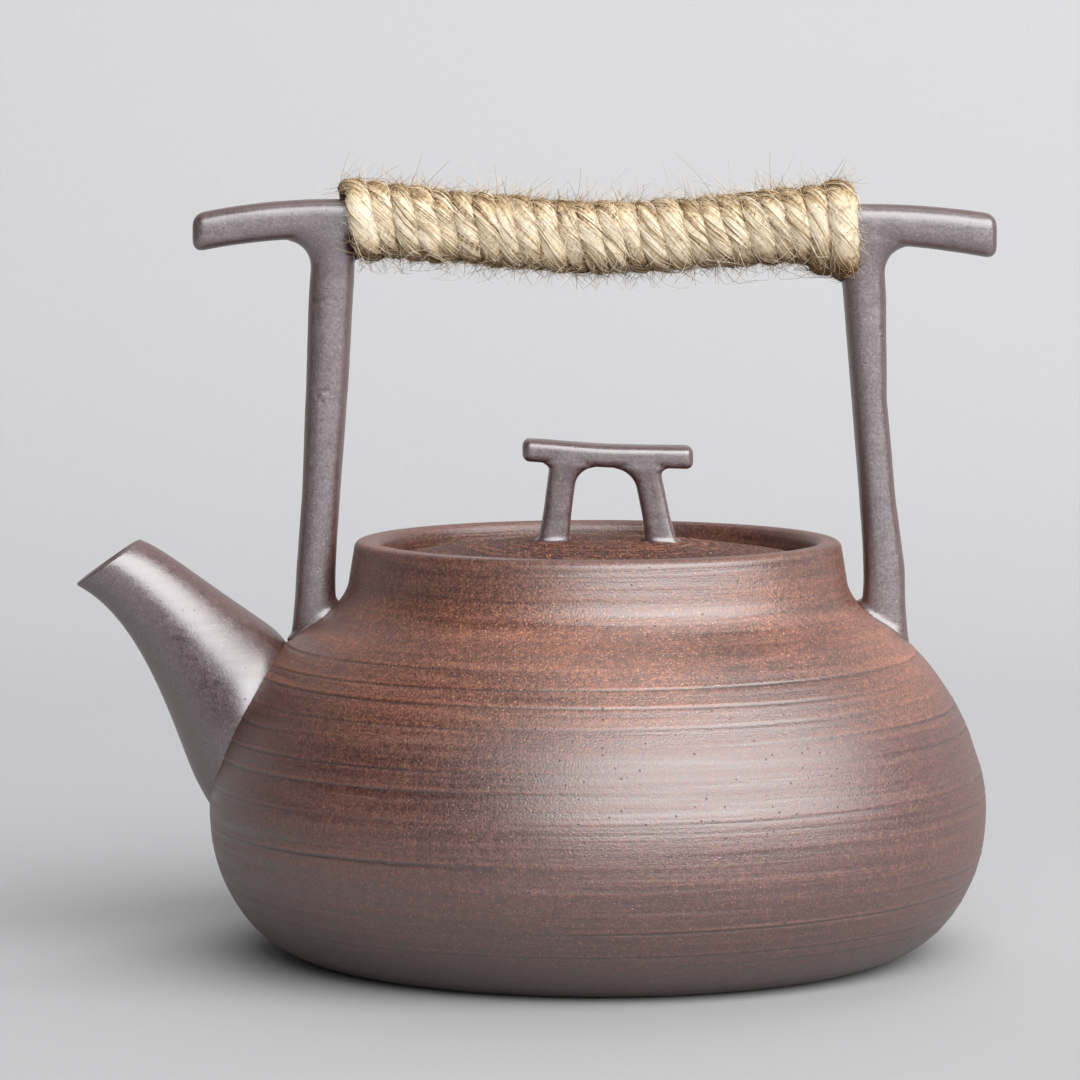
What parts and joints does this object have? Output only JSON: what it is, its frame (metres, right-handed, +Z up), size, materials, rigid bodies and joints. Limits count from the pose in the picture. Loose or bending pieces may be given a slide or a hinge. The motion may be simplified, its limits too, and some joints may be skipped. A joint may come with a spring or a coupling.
{
  "type": "teapot",
  "caption": "Unglazed stoneware teapot with a fixed overhead handle wound with cord, an upright collar and a loose sunken lid with a gate-shaped knob.",
  "frame": {"origin": "centre of the flat base, on the axis of the pot", "axes": "+Z up along the axis of the pot, -X towards the spout, +X towards the rear post of the handle"},
  "size_m": [0.1773, 0.1508, 0.1489],
  "materials": {
    "clay": "unglazed, grainy, with throwing lines",
    "smooth_clay": "unglazed, smoothed by hand",
    "jute": "twisted natural cord"
  },
  "bodies": {
    "pot": {"pot_body": "clay", "spout": "smooth_clay", "strainer": "clay", "front_post": "smooth_clay", "rear_post": "smooth_clay", "handle_bar": "smooth_clay", "cord_wrap": "jute"},
    "lid": {"lid_plate": "clay", "lid_flange": "clay", "knob_left_leg": "smooth_clay", "knob_right_leg": "smooth_clay", "knob_cap": "smooth_clay"}
  },
  "joints": [
    {"name": "lid_lift", "type": "slide", "parent": "pot", "child": "lid", "axis": [0, 0, 1], "range_m": [0, 0.028]}
  ]
}
